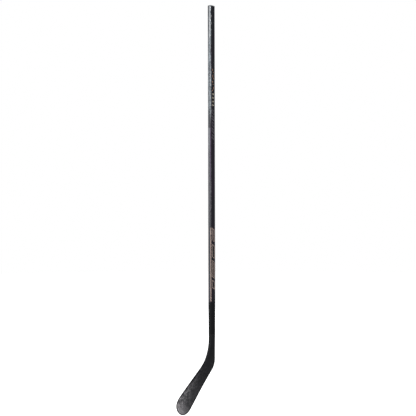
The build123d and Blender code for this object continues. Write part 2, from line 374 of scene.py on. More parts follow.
def make_piece(name, points_and_faces, material, slot, *nodes):
    """A closed mesh object that rides on the stick and may stand for CAD nodes."""
    points, faces = points_and_faces
    mesh = bpy.data.meshes.new(name)
    shape = bmesh.new()
    corners = [shape.verts.new(p) for p in points]
    for face in faces:
        if len(set(face)) > 2:
            shape.faces.new([corners[i] for i in face])
    bmesh.ops.remove_doubles(shape, verts=shape.verts, dist=merge_distance)
    bmesh.ops.dissolve_degenerate(shape, edges=shape.edges, dist=merge_distance)
    bmesh.ops.recalc_face_normals(shape, faces=shape.faces)
    for edge in shape.edges:
        edge.smooth = len(edge.link_faces) != 2 or edge.calc_face_angle() < crisp_angle
    for face in shape.faces:
        face.smooth = True
    shape.to_mesh(mesh)
    open_edges = sum(not edge.is_manifold for edge in shape.edges)
    shape.free()
    mesh.materials.append(material)
    piece = bpy.data.objects.new(name, mesh)
    bpy.context.scene.collection.objects.link(piece)
    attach(piece, "root")
    if nodes:
        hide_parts(*nodes)
    print(f"{name}: {len(mesh.polygons)} faces, {open_edges} open edges")
    return piece


def join_rings(rings, closed):
    """Points and quads of a tube through rings. closed joins the last ring to the first."""
    count = len(rings[0])
    points = [p for ring in rings for p in ring]
    faces = []
    for i in range(len(rings) if closed else len(rings) - 1):
        a, b = i * count, (i + 1) % len(rings) * count
        faces += [(a + j, a + (j + 1) % count, b + (j + 1) % count, b + j) for j in range(count)]
    if not closed:
        faces += [tuple(range(count))[::-1], tuple(range(len(points) - count, len(points)))]
    return points, faces


def join_slab(outside, inside):
    """Points and faces of a plate from two grids of points of the same size."""
    rows, columns = len(outside), len(outside[0])
    points = [p for grid in (outside, inside) for row in grid for p in row]
    size = rows * columns

    def at(layer, i, j):
        return layer * size + i * columns + j

    faces = []
    for layer in (0, 1):
        for i in range(rows - 1):
            for j in range(columns - 1):
                spots = ((i, j), (i, j + 1), (i + 1, j + 1), (i + 1, j))
                faces.append(tuple(at(layer, *spot) for spot in spots))
    border = [(0, j) for j in range(columns)]
    border += [(i, columns - 1) for i in range(1, rows)]
    border += [(rows - 1, j) for j in range(columns - 2, -1, -1)]
    border += [(i, 0) for i in range(rows - 2, 0, -1)]
    for (i, j), (k, m) in zip(border, border[1:] + border[:1]):
        faces.append((at(0, i, j), at(0, k, m), at(1, k, m), at(1, i, j)))
    return points, faces


print("helpers are ready")

# %% [markdown]
# ## Woven carbon
#
# The outside plies are a two-by-two twill of flat carbon tows. Tows that run one way look a shade
# apart from tows that run the other, and the step where one dives under the next gives the diagonal
# ribs. `across` and `up` are counted in tows, and the remainder of their difference by four says which
# tow is on top.


# %% Twill pattern
def twill(across, up, tow):
    """Which tow is on top (0 or 1), and the tows' height from 0 to 1."""
    a = across / tow
    b = up / tow
    on_top = ((a.floor() - b.floor()) % 4.0) < 2.0
    round_a = ((a % 1.0) * math.pi).sine()
    round_b = ((b % 1.0) * math.pi).sine()
    height = on_top * round_a + (1 - on_top) * round_b
    return on_top, height


def fibres(across, up, on_top):
    """Fine streaks that run along each tow."""
    fine, long = 9.0, 0.35
    along_up = noise(vector(across * fine, up * long, 0.0), 1.0, 2.0)
    along_across = noise(vector(across * long, up * fine, 5.0), 1.0, 2.0)
    return on_top * along_up + (1 - on_top) * along_across


def neck_cloth(on_top, fibre):
    """Colour of the matte cloth on the hosel and the neck."""
    return (0.35 * on_top + 0.65 * fibre).mix((0.004, 0.004, 0.005), (0.019, 0.019, 0.021))


def sole_axes(x, z):
    """Distance along the sole and height square to it, in millimetres."""
    return (0 - x - z) * math.sin(turn), (z - x) * math.cos(turn)


print("twill is ready")

# %% [markdown]
# ## The blade's drawing
#
# The blade is drawn flat first and curved afterwards. A spot on the drawing is (u, z): u runs to the
# toe and z up the shaft. The neck is an arc from the shaft's front to the top edge, the heel an arc
# from its back to the sole, and the toe a rounded oval.

# %% Lines and arcs of the drawing
along_dir = Vector((math.sin(turn), -math.cos(turn)))
up_dir = Vector((math.cos(turn), math.sin(turn)))
toe_start = blade_reach - toe_rounding
height_slope = (toe_height - heel_height) / toe_start


def blade_height(along):
    """Height of the blade at a distance along the sole."""
    return heel_height + height_slope * along


def on_blade(along, height):
    """The spot at a distance along the sole and a height square to it."""
    return along_dir * along + up_dir * height


top_angle = turn + math.atan(height_slope)
top_root = on_blade(0, heel_height)
pivot_u = half_width + neck_radius
reach_down = (pivot_u - top_root.x) * math.cos(top_angle)
pivot_z = top_root.y + (neck_radius - reach_down) / math.sin(top_angle)
pivot = Vector((pivot_u, pivot_z))
fan_end = pivot.dot(along_dir)
heel_u = heel_radius - half_width
heel = Vector((heel_u, (heel_radius - heel_u * up_dir.x) / up_dir.y))


def ray_at(angle):
    """Direction from a spot on the neck back to the pivot."""
    return Vector((math.cos(angle), math.sin(angle)))


def reach_below(angle):
    """Distance from the pivot to the outline: the hosel's back, the heel's arc or the sole."""
    ray = -ray_at(angle)
    to_back = (pivot_u + half_width) / math.cos(angle)
    if pivot_z + to_back * ray.y >= heel.y:
        return to_back
    to_sole = -pivot.dot(up_dir) / ray.dot(up_dir)
    if (pivot + ray * to_sole).dot(along_dir) >= heel.dot(along_dir):
        return to_sole
    half = (pivot - heel).dot(ray)
    return -half + math.sqrt(half**2 - (pivot - heel).length_squared + heel_radius**2)


print("neck pivot at", [round(v / mm, 1) for v in pivot], "mm")

# %% [markdown]
# ### From the drawing to the curved blade
#
# Each spot gets the middle of the blade there, the way across it and half of its thickness. The
# middle bows to the forehand with the square of the distance along the sole, the face opens steadily
# towards the toe, and the blade thins from the hosel to the toe.

# %% Curve, twist and thickness at a spot
straight_travel = joint_z - pivot_z
fan_travel = turn * (neck_radius + half_width)
total_travel = straight_travel + fan_travel + blade_reach - fan_end


def blade_at(spot):
    """Middle of the blade at a spot, the way across it to the forehand, and half its thickness."""
    along = spot.dot(along_dir)
    if along >= fan_end:
        ray, base, height = up_dir, along_dir * along, blade_height(along)
        travel = straight_travel + fan_travel + along - fan_end
    elif spot.y < pivot_z:
        angle = math.atan2(pivot_z - spot.y, pivot_u - spot.x)
        reach = reach_below(angle)
        ray, base, height = ray_at(angle), pivot - ray_at(angle) * reach, reach - neck_radius
        travel = straight_travel + angle * (neck_radius + half_width)
    else:
        ray, base, height = Vector((1, 0)), Vector((-half_width, spot.y)), 2 * half_width
        travel = joint_z - spot.y
    share = max(0.0, base.dot(along_dir)) / blade_reach
    lean = toe_twist * share
    x_dir = Vector((-ray.x * math.cos(lean), math.sin(lean), ray.y * math.cos(lean)))
    z_dir = Vector((ray.y, 0, ray.x))
    x = (spot - base).dot(ray)
    middle = Vector((-base.x, -curve_depth * share**2, base.y)) + x_dir * x
    left = 1 - travel / total_travel
    at_base = toe_thickness + (hosel_depth - toe_thickness) * left**2
    return middle, z_dir.cross(x_dir), at_base * (1 - top_thinning * (1 - left) * x / height) / 2


def corner_round(half):
    """Radius of the rounded edge where the blade or hosel is this thick."""
    return 2 * half * shaft_corner / hosel_depth


tip = blade_at(on_blade(blade_reach, tip_share * blade_height(blade_reach)))
print("tip of the toe at", [round(v / mm, 1) for v in tip[0]], "mm")

# %% [markdown]
# ### Slices of the blade
#
# The blade is cut into slices that turn from level, at the hosel, to square to the sole. Each slice
# keeps four spots: both ends of the outline, and both ends of the face inside the edge wrap. Slices
# crowd towards the tip, where the outline turns fastest.

# %% Slices
sole_trim = 0.6 * mm
neck_steps = 18
blade_steps = 16
toe_steps = 18


def neck_slice(share):
    """Spots of a slice in the neck: share is 0 at the hosel and 1 where the straight sole starts."""
    back_start = math.atan((pivot_z - hosel_z) / (pivot_u + half_width))
    front_start = math.asin((pivot_z - hosel_z) / neck_radius)
    back_angle = back_start + (turn - back_start) * share
    front_angle = front_start + (turn - front_start) * share
    low = pivot - ray_at(back_angle) * (reach_below(back_angle) + sole_trim * share)
    high = pivot - ray_at(front_angle) * neck_radius
    run = (high - low).normalized()
    low_wrap = wrap_width + (sole_wrap_width - wrap_width) * share
    return low, low + run * low_wrap, high - run * wrap_width, high


arc_end = fan_end + neck_radius * math.sin(top_angle - turn)


def top_edge(along):
    """Height of the top edge: the end of the neck's arc, then a straight line."""
    if along < arc_end:
        return pivot.dot(up_dir) - math.sqrt(neck_radius**2 - (along - fan_end) ** 2)
    return blade_height(along)


def outline_ends(along, inset, sole_inset):
    """Lowest and highest spot of the blade's outline, drawn in by the insets."""
    past = max(0.0, along - toe_start) / (toe_rounding - inset)
    full = max(0.0, 1 - past**toe_fullness) ** (1 / toe_fullness)
    low = max(0.0, along - rocker_start) ** 2 / (2 * rocker_radius) + sole_inset - sole_trim
    high = top_edge(along) - inset
    middle = low + tip_share * (high - low)
    fall, rise = full * (middle - low), full * (high - middle)
    return on_blade(along, middle - fall), on_blade(along, middle + rise)


def blade_slice(along, inner_along):
    """Spots of a slice square to the sole."""
    low, high = outline_ends(along, 0, 0)
    inner_low, inner_high = outline_ends(inner_along, wrap_width, sole_wrap_width + sole_trim)
    return low, inner_low, inner_high, high


slices = [neck_slice(step / neck_steps) for step in range(neck_steps)]
for step in range(blade_steps):
    along = fan_end + (toe_start - fan_end) * step / blade_steps
    slices.append(blade_slice(along, along))
for step in range(toe_steps + 1):
    swing = math.sin(math.pi / 2 * step / toe_steps)
    inner_along = toe_start + (toe_rounding - wrap_width) * swing
    slices.append(blade_slice(toe_start + toe_rounding * swing, inner_along))
print("slices:", len(slices))

# %% [markdown]
# ## Carbon faces
#
# Each face of the blade is a skin a little over a millimetre thick: a closed plate between two grids
# of points, the outside and the inside. Near the neck the face runs onto the rounded edge, and drops
# with it.

# %% Faces
face_columns = 14


def drop_at_edge(distance, radius):
    """How far a rounded edge has dropped at a distance from the outline."""
    if distance >= radius:
        return 0.0
    return radius - math.sqrt(radius**2 - (radius - distance) ** 2)


def face_grids(side):
    """Outside and inside points of one face. side is 1 for the forehand and -1 for the backhand."""
    outside, inside = [], []
    for low, inner_low, inner_high, high in slices:
        outer_row, inner_row = [], []
        for column in range(face_columns + 1):
            spot = inner_low.lerp(inner_high, column / face_columns)
            middle, across, half = blade_at(spot)
            edge = min((spot - low).length, (high - spot).length)
            drop = drop_at_edge(edge, corner_round(half))
            outer_row.append(middle + across * side * (half - drop))
            inner_row.append(middle + across * side * (half - skin))
        outside.append(outer_row)
        inside.append(inner_row)
    return outside, inside


print("face of", len(slices), "by", face_columns + 1, "points")

# %% [markdown]
# ### Finish of the faces
#
# The blade's outer ply is chopped carbon under a thin matte clear coat. Short fibres show as grey
# flecks, and the face near the heel stays dark. A painted highlight lightens the flecks towards the toe
# and the top edge, with a painted sheen over the toe's end; past the heel the flecks are also lighter
# near the top edge. The flecks are noise stretched along the blade, in two sizes.


# %% Face finish
def face_finish():
    """Dark carbon with grey flecks, lightened towards the toe by a painted highlight and a painted
    sheen.
    """
    material, place = begin("blade_carbon")
    x, y, z = place.xyz()
    along, height = sole_axes(x, z)
    neck = z.fade(0.0, 75.0)
    # Flecks lighter near the top edge, from a little past the heel onwards.
    top_edge_lift = height.fade(35.0, 80.0) * along.fade(0.0, 120.0)
    # Painted highlight: flecks lighter towards the toe and the top edge.
    painted_highlight = along.fade(40.0, 255.0) * (0.10 + 0.48 * height.fade(12.0, 58.0)) + top_edge_lift * 0.3
    blotch = noise(vector(along * 0.06, height * 0.09, 1.0), 1.0, 5.0, 0.65).fade(0.42, 0.58)
    coarse = noise(vector(along * 0.5, height * 1.0, 0.0), 0.5, 5.0, 0.7).fade(0.42, 0.62)
    fine = noise(vector(along * 0.8, height * 1.7, 3.0), 1.6, 3.0, 0.6)
    chip = cells(vector(along, height, y * 0.2), 0.30, 1.0, output=1)
    chip = chip.node("SeparateColor", None, {0: chip})
    fleck = coarse * 0.6 + fine.fade(0.5, 0.68) * 0.5
    fleck = fleck * (0.35 + 0.9 * chip) * (0.25 + 1.1 * blotch)
    on_top, weave = twill(x + y, z, 2.0)
    dark = neck.mix(chip.mix((0.007, 0.007, 0.008), (0.018, 0.018, 0.020)), neck_cloth(on_top, fine))
    grey = fine.mix((0.20, 0.19, 0.20), (0.56, 0.54, 0.56))
    # Painted sheen: a smooth lightening over the toe's end, and a faint one from mid-blade on.
    painted_sheen = along.fade(195.0, 262.0) * 0.22 + along.fade(236.0, 264.0) * 0.22
    painted_sheen = painted_sheen + along.fade(60.0, 160.0) * 0.03
    share = (fleck * (0.06 * (1 - neck) + 1.5 * painted_highlight) + painted_sheen).least(1.0)
    colour = share.mix(dark, grey)
    rough = 0.36 + 0.22 * fine + 0.1 * fleck
    relief = fine * 0.5 + chip * 0.5 * (1 - neck) + weave * 0.5 * neck
    coat = {"coat_weight": 0.1, "coat_roughness": 0.3, "specular_ior_level": 0.35}
    return end(material, colour, rough, relief, 0.05, **coat)


blade_carbon = face_finish()
for name, side in {"forehand": 1, "backhand": -1}.items():
    plate = join_slab(*face_grids(side))
    make_piece(f"{name}_skin", plate, blade_carbon, "blade_laminate", f"{name}_face")

# %% [markdown]
# ## Edge wrap
#
# A strip of carbon is folded round the blade's edge, over the sole, the toe and the top. At each spot
# of the outline a closed section runs from the forehand seam, round the edge, to the backhand seam.
# The strip stands a tenth of a millimetre above the faces, and the sole is planed flat.

# %% Edge wrap
ply = 0.12 * mm
ply_slope = 0.5 * mm
round_steps = 6


def wrap_side(run, half):
    """Half of the wrap's section, seam to edge: distance from the outline, and rise over half."""
    radius = corner_round(half)
    level = run - ply_slope
    start = math.asin(max(0.0, 1 - level / radius))
    side = [(run, -drop_at_edge(run, radius)), (level, ply - drop_at_edge(level, radius))]
    for step in range(1, round_steps + 1):
        angle = start + (math.pi / 2 - start) * step / round_steps
        rise = ply * math.cos(angle) - radius * (1 - math.cos(angle))
        side.append((radius * (1 - math.sin(angle)), rise))
    return side


def wrap_ring(edge_spot, inner_spot):
    """Closed section of the wrap between the outline and the seam."""
    run = (inner_spot - edge_spot).length
    inward = (inner_spot - edge_spot) / run
    side = wrap_side(run, blade_at(edge_spot)[2])
    ring = []
    for way, profile in ((1, side), (-1, side[::-1])):
        for distance, rise in profile:
            spot = edge_spot + inward * distance
            spot = spot + up_dir * max(0.0, -spot.dot(up_dir))
            middle, across, half = blade_at(spot)
            ring.append(middle + across * way * (half + rise))
    return ring


def wrap_finish():
    """Matte woven strip, with pale scuffs where it meets the ice."""
    material, place = begin("edge_wrap_carbon")
    x, y, z = place.xyz()
    along, height = sole_axes(x, z)
    on_top, weave = twill(along, height + y, 1.6)
    fibre = fibres(along, height + y, on_top)
    scratch = noise(vector(along * 0.15, height * 3.0, y * 3.0), 1.2, 5.0, 0.7).fade(0.6, 0.72)
    nicks = noise(place, 0.6, 4.0).fade(0.66, 0.8)
    wear = scratch * (1 - height.fade(2.0, 16.0)) * 0.5 + nicks * 0.2
    dark = (0.3 * on_top + 0.7 * fibre).mix((0.003, 0.003, 0.004), (0.012, 0.012, 0.014))
    dark = z.fade(0.0, 60.0).mix(dark, neck_cloth(on_top, fibre))
    colour = wear.mix(dark, (0.22, 0.22, 0.22))
    relief = weave * 0.7 + scratch * 0.3
    return end(material, colour, 0.5 + 0.25 * fibre, relief, 0.05, specular_ior_level=0.2)


sole_run = [wrap_ring(low, inner_low) for low, inner_low, inner_high, high in slices]
top_run = [wrap_ring(high, inner_high) for low, inner_low, inner_high, high in slices[-2::-1]]
strip = join_rings(sole_run + top_run, closed=False)
make_piece("edge_rim", strip, wrap_finish(), "edge_laminate", "edge_wrap")

# %% [markdown]
# ## Hosel
#
# The hosel is the blade's neck, a moulded tube that carries on the line of the shaft. Below the
# joint its front sweeps out along the neck's arc. It is stacked from level rings, with a bore for
# the tenon, and left matte with the weave just showing.

# %% Ring with rounded corners
hosel_bore = 2.05 * mm


def round_ring(z, back, front, half_at, radius_at, arc_steps=8):
    """A level ring from u = back to u = front, with half_at(u) for its depth and round corners."""

    def corner_arc(radius):
        angles = [math.pi / 2 * step / arc_steps for step in range(arc_steps + 1)]
        return [(radius * (1 - math.sin(a)), radius * (1 - math.cos(a))) for a in angles]

    start, stop = back + radius_at(back), front - radius_at(front)
    run = [(back + fall, drop) for fall, drop in corner_arc(radius_at(back))[::-1]]
    run += [(start + (stop - start) * share, 0.0) for share in (0.25, 0.5, 0.75)]
    run += [(front - fall, drop) for fall, drop in corner_arc(radius_at(front))]
    forehand = [(-u, drop - half_at(u), z) for u, drop in run]
    return forehand + [(x, -y, z) for x, y, z in forehand[::-1]]


def shaft_half_depth(z):
    """Half of the shaft's depth at a height, thinner in the taper above the joint."""
    share = min(1.0, max(0.0, (z - shaft_start) / taper_length))
    return hosel_depth / 2 + (half_depth - hosel_depth / 2) * share


def plain_ring(z, inset):
    """A ring of the shaft's own section, drawn in by an inset."""
    wide, deep = half_width - inset, shaft_half_depth(z) - inset
    return round_ring(z, -wide, wide, lambda u: deep, lambda u: shaft_corner - inset)


def hosel_ring(z):
    """The hosel's outside at a height."""
    fall = max(0.0, pivot_z - z)
    front = pivot_u - math.sqrt(neck_radius**2 - fall**2)

    def half_at(u):
        return blade_at(Vector((u, z)))[2]

    return round_ring(z, -half_width, front, half_at, lambda u: corner_round(half_at(u)))


print("rings are ready")

# %% Hosel and its finish
hosel_steps = 14


def hosel_finish():
    """Matte cloth-faced carbon, rubbed a little lighter near the joint."""
    material, place = begin("hosel_carbon")
    x, y, z = place.xyz()
    on_top, weave = twill(x + y, z, 2.0)
    fibre = fibres(x + y, z, on_top)
    cloud = noise(place, 0.12, 4.0).fade(0.5, 0.8)
    rub = noise(vector(x * 2.0, y * 2.0, z * 0.3), 1.0, 4.0, 0.7).fade(0.6, 0.75)
    worn = (cloud * 0.1 + rub * 0.06) * z.fade(85.0, 125.0)
    colour = worn.mix(neck_cloth(on_top, fibre), (0.16, 0.16, 0.165))
    return end(material, colour, 0.42 + 0.2 * fibre, weave, 0.04, specular_ior_level=0.25)


heights = [hosel_z + (joint_z - hosel_z) * step / hosel_steps for step in range(hosel_steps + 1)]
outside = [hosel_ring(z) for z in heights]
bore = [plain_ring(z, hosel_bore) for z in (joint_z, (joint_z + hosel_z) / 2, hosel_z)]
tube = join_rings(outside + bore, closed=True)
make_piece("hosel_neck", tube, hosel_finish(), "hosel_laminate", "hosel")

# %% [markdown]
# ## Joint bead
#
# Where shaft and hosel meet, surplus filler is wiped to a shallow groove: a hollow curve between the
# two rims, drawn with a few rings.

# %% Joint bead
bead_recess = 0.35 * mm
rim_share = 0.25  # of the recess, left at the two rims
glue_line = 0.25 * mm  # between tube and tenon; the bead reaches down through it
bead_steps = 6


def filler_finish(name, low, high):
    """Cured adhesive: slightly uneven in colour and gloss, with pinholes."""
    material, place = begin(name)
    cloud = noise(place, 0.5, 4.0)
    hole = noise(place, 2.5, 2.0).fade(0.66, 0.72)
    colour = (cloud.fade(0.3, 0.7) * (1 - 0.6 * hole)).mix(low, high)
    return end(material, colour, 0.4 + 0.25 * cloud, cloud * 0.6 - hole * 0.4, 0.06)


bead_outside = []
for step in range(bead_steps + 1):
    share = step / bead_steps
    hollow = bead_recess * (rim_share + (1 - rim_share) * math.sin(math.pi * share))
    bead_outside.append(plain_ring(joint_z + (shaft_start - joint_z) * share, hollow))
bead_inside = [plain_ring(z, shaft_wall + glue_line) for z in (shaft_start, joint_z)]
bead = join_rings(bead_outside + bead_inside, closed=True)
bead_filler = filler_finish("bead_filler", (0.012, 0.012, 0.012), (0.05, 0.05, 0.048))
make_piece("joint_filler", bead, bead_filler, "adhesive", "joint_bead")

# %% [markdown]
# ## Shaft
#
# The shaft is a rounded rectangular tube that thins towards the hosel. The printed films lie in
# shallow pockets, so each ring has a step at a film's edge, and a film's end is two rings at one
# height, one with the pocket and one without.

# %% Shaft mesh
wide_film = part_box("lower_print_forehand")[1].x
side_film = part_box("side_print_front")[1].y
film_depth = half_depth - abs(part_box("lower_print_backhand")[0].y)
lower_film = [corner.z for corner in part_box("lower_print_forehand")]
upper_film = [corner.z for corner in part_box("upper_print_forehand")]
side_marks = [corner.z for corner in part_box("side_print_front")]
edge_break = 0.35 * mm
ring_spacing = 30 * mm
taper_end = shaft_start + taper_length


def tube_ring(z, inset=0.0, wide_pocket=0.0, side_pocket=0.0, arc_steps=10):
    """A rounded rectangle at a height, with a step for a film in each face."""
    a, b = half_width - inset, shaft_half_depth(z) - inset
    radius = shaft_corner - inset
    ring = []
    sides = [(a, b, wide_film, wide_pocket), (b, a, side_film, side_pocket)] * 2
    for quarter, (run, out_by, film, pocket) in enumerate(sides):
        spots = [(-film, out_by), (-film, out_by - pocket)]
        spots += [(film * share, out_by - pocket) for share in (-0.5, 0.0, 0.5)]
        spots += [(film, out_by - pocket), (film, out_by)]
        for step in range(arc_steps + 1):
            angle = math.pi / 2 * step / arc_steps
            swing, rise = radius * math.sin(angle), radius * math.cos(angle)
            spots.append((run - radius + swing, out_by - radius + rise))
        for t, n in spots:
            ring.append([(t, -n, z), (n, t, z), (-t, n, z), (-n, -t, z)][quarter])
    return ring


def shaft_rings():
    """Rings up the outside and down the bore, with a small edge break at each end."""
    ends = sorted({shaft_start, taper_end, shaft_end, *lower_film, *upper_film, *side_marks})
    outside = [tube_ring(shaft_start, edge_break)]
    for low, high in zip(ends, ends[1:]):
        middle = (low + high) / 2
        wide = any(film[0] < middle < film[1] for film in (lower_film, upper_film)) * film_depth
        side = (side_marks[0] < middle < side_marks[1]) * film_depth
        low += (low == shaft_start) * edge_break
        high -= (high == shaft_end) * edge_break
        steps = max(1, round((high - low) / ring_spacing))
        for step in range(steps + 1):
            outside.append(tube_ring(low + (high - low) * step / steps, 0, wide, side))
    outside.append(tube_ring(shaft_end, edge_break))
    return outside + [tube_ring(z, shaft_wall) for z in (shaft_end, taper_end, shaft_start)]


print("film pockets:", round(film_depth / mm, 2), "mm deep")

# %% [markdown]
# ### Shaft finish
#
# The carbon shows black on the wide faces. The narrow faces carry a thin blue-grey lacquer with
# smudged dark marks in its upper third. Their colour also holds painted light: a painted reflection
# of the lamps at the left, which grows and dips up the shaft; a pale painted highlight by the butt;
# painted highlights on the corners beside the marks; and painted shade on the far half of the face.
# The last 140 mm before the joint is left matte. Over all lies a clear coat, whose orange peel and
# handling marks keep the reflections from being perfect.


# %% Shaft finish
def shaft_finish(name, gloss=0.0):
    """Twill carbon under a clear coat; blue-grey lacquer and painted light on the narrow faces and
    corners.
    """
    material, place = begin(name)
    x, y, z = place.xyz()
    facing = place.node("NewGeometry", output=1).xyz()
    narrow = abs(facing[0]).fade(0.35, 0.65)
    corner = 1 - abs(facing[0]).fade(0.8, 0.97)
    across = x + (y - x) * (abs(facing[0]) > abs(facing[1]))

    # Zones up the shaft, from 0 to 1 between two heights in millimetres.
    matte = 1 - z.fade(282.0, 292.0)
    started = z.fade(285.0, 330.0)
    # Painted reflection of the left lamps on the front face: it grows from this height and dips at the
    # next.
    painted_reflection_rise = z.fade(520.0, 740.0)
    painted_reflection_dip = z.fade(860.0, 950.0) * (1 - z.fade(1080.0, 1130.0))
    upper = z.fade(1060.0, 1140.0)
    marks_and_highlight_zone = z.fade(1060.0, 1100.0) * (1 - z.fade(1300.0, 1350.0))
    # The painted reflection fades a little by the butt.
    painted_reflection_fade = z.fade(1330.0, 1370.0)
    # Painted highlight: a pale streak down the front face near its middle, by the butt.
    painted_butt_highlight = (1 - abs(y + 2.2).fade(1.2, 3.4)) * z.fade(1400.0, 1450.0)
    # Painted shade: the far half of the front face is darker, most of all by the butt.
    far = y.fade(-0.5, 2.5) * (0.25 + 0.55 * z.fade(1300.0, 1360.0))

    # Carbon: black, with clouds of plum.
    on_top, weave = twill(across, z, 2.4)
    streak = fibres(across, z, on_top)
    shade = (0.3 * on_top + 0.6 * streak).fade(0.1, 0.8)
    carbon = shade.mix((0.003, 0.003, 0.004), (0.018, 0.018, 0.022))
    plum = noise(vector(x * 0.05, y * 0.05, z * 0.006), 1.0, 2.0).fade(0.42, 0.62)
    carbon = (plum * 0.5).mix(carbon, (0.017, 0.007, 0.018))

    # Lacquer and its painted reflection: the colour, then how much of the carbon it covers.
    cloud = noise(vector(x * 0.3, y * 0.3, z * 0.05), 1.0, 5.0, 0.7).fade(0.35, 0.65)
    fleck = noise(vector(x * 0.2, y * 0.2, z * 0.07), 1.0, 5.0, 0.8).fade(0.44, 0.56)
    # The colour is partly the lacquer's own blue-grey, partly a painted reflection of the cool left
    # lamps.
    lacquer_and_reflection = cloud.mix((0.05, 0.068, 0.085), (0.32, 0.36, 0.39))
    lacquer_and_reflection = (0.85 - 0.85 * upper).mix(lacquer_and_reflection, (0.098, 0.088, 0.096))
    # Painted highlight: pale grey in the streak by the butt.
    lacquer_and_reflection = (painted_butt_highlight * (0.55 + 0.45 * fleck)).mix(lacquer_and_reflection, (0.70, 0.70, 0.70))
    # Painted highlight on the corners beside the dark marks.
    lacquer_and_reflection = (marks_and_highlight_zone * (0.15 + 0.6 * corner)).mix(lacquer_and_reflection, (0.50, 0.54, 0.57))
    # How strongly the lacquer and its painted reflection cover the carbon at each height.
    strength = started * (0.45 + 0.75 * painted_reflection_rise) * (1 - 0.55 * painted_reflection_dip) * (1 - 0.25 * painted_reflection_fade)
    # Painted light in the cover: full in the pale streak, painted shade on the far half.
    cover = narrow * strength * (0.3 + 0.7 * fleck.most(painted_butt_highlight)) * (1 - far)
    # Painted shade: less lacquer on the corners below the upper print, dimming them.
    cover = cover * (1 - 0.3 * corner * (1 - upper))
    colour = cover.mix(carbon, lacquer_and_reflection)
    dash = noise(vector(x * 0.1, y * 0.22, z * 0.13), 1.0, 4.0, 0.75).fade(0.49, 0.54)
    colour = (dash * marks_and_highlight_zone * narrow * (0.95 - 0.6 * corner)).mix(colour, (0.012, 0.013, 0.017))
    colour = matte.mix(colour, (0.007, 0.007, 0.008))

    # Clear coat: orange peel and scuffs, and none on the matte end.
    scuff = noise(vector(x * 1.4, y * 1.4, z * 0.5), 1.0, 6.0, 0.7).fade(0.58, 0.74)
    rough = 0.24 - gloss + 0.1 * streak + 0.14 * scuff + 0.34 * matte
    relief = weave * 0.45 + noise(place, 0.9, 2.0) * 0.55
    coat = {"coat_weight": 0.9 - 0.8 * matte, "coat_roughness": 0.12, "specular_ior_level": 0.3}
    return end(material, colour, rough, relief, 0.03, **coat)


tube = join_rings(shaft_rings(), closed=True)
make_piece("shaft_tube", tube, shaft_finish("shaft_lacquer"), "shaft_laminate", "shaft")

# %% [markdown]
# ## Printed films
#
# The graphics are printed on clear film and laid into the shaft's faces before the last coat. Each
# film is a thin plate with rounded corners, standing a few hundredths of a millimetre proud.

# %% Films
film_proud = 0.02 * mm
film_bevel = 0.05 * mm
film_round = 2.0 * mm
film_arc_steps = 5


def film_plate(name, node, slot, material):
    """A thin plate with rounded corners that fills the pocket of a printed film."""
    low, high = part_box(node)
    middle, half = (low + high) / 2, (high - low) / 2
    thin, wide = (0, 1) if half.x < half.y else (1, 0)
    outward = 1 if middle[thin] > 0 else -1
    rings = []
    for depth, inset in ((0, 0.0), (1, 0.0), (1 + film_proud / (2 * half[thin]), film_bevel)):
        ring = []
        for corner, (way, up) in enumerate(((1, 1), (-1, 1), (-1, -1), (1, -1))):
            for step in range(film_arc_steps + 1):
                angle = math.pi / 2 * (corner + step / film_arc_steps)
                spot = [0, 0, middle.z]
                spot[wide] = middle[wide] + (half[wide] - film_round) * way
                spot[wide] += (film_round - inset) * math.cos(angle)
                spot[2] += (half.z - film_round) * up + (film_round - inset) * math.sin(angle)
                spot[thin] = middle[thin] + outward * half[thin] * (2 * depth - 1)
                ring.append(spot)
        rings.append(ring)
    make_piece(name, join_rings(rings, closed=False), material, slot, node)


film_lacquer = shaft_finish("film_lacquer", gloss=0.05)
for side in ("forehand", "backhand"):
    film_plate(f"lower_film_{side}", f"lower_print_{side}", "print_lower", film_lacquer)
    film_plate(f"upper_film_{side}", f"upper_print_{side}", "print_upper", film_lacquer)
for side in ("front", "back"):
    film_plate(f"side_film_{side}", f"side_print_{side}", "print_side", film_lacquer)

# %% [markdown]
# ## Printed lines
#
# The print is a pattern of plain slanted frames, bars and pinstripes, of no meaning. Ink has a
# thickness, so each line is a thin ribbon laid round the shaft. `on_shaft` says where a point is that
# lies a distance around the shaft from the middle of its front face, and the ribbon follows it over
# flats and corners alike.


# %% Ribbons of ink
def on_shaft(around, z, lift):
    """Point a distance around the shaft from its front face's middle, + to the forehand."""
    side = 1 if around >= 0 else -1
    half = shaft_half_depth(z)
    flat, wide, arc = half - shaft_corner, half_width - shaft_corner, shaft_corner * math.pi / 2
    run = abs(around)
    radius = shaft_corner + lift
    if run <= flat:
        return Vector((-half_width - lift, -side * run, z))
    if run <= flat + arc:
        angle = (run - flat) / shaft_corner
        return Vector((-wide - radius * math.cos(angle), -side * (flat + radius * math.sin(angle)), z))
    return Vector((run - flat - arc - wide, -side * (half + lift), z))


def corner_line(z):
    """Distance around to the middle of the corner between the front and a wide face."""
    return shaft_half_depth(z) - shaft_corner + shaft_corner * math.pi / 4


def wide_line(z, t):
    """Distance around to a line on the wide face, t from its middle towards the toe."""
    return corner_line(z) + shaft_corner * math.pi / 4 + half_width - shaft_corner - t


ink_rise = 0.06 * mm
ink_sink = -0.03 * mm


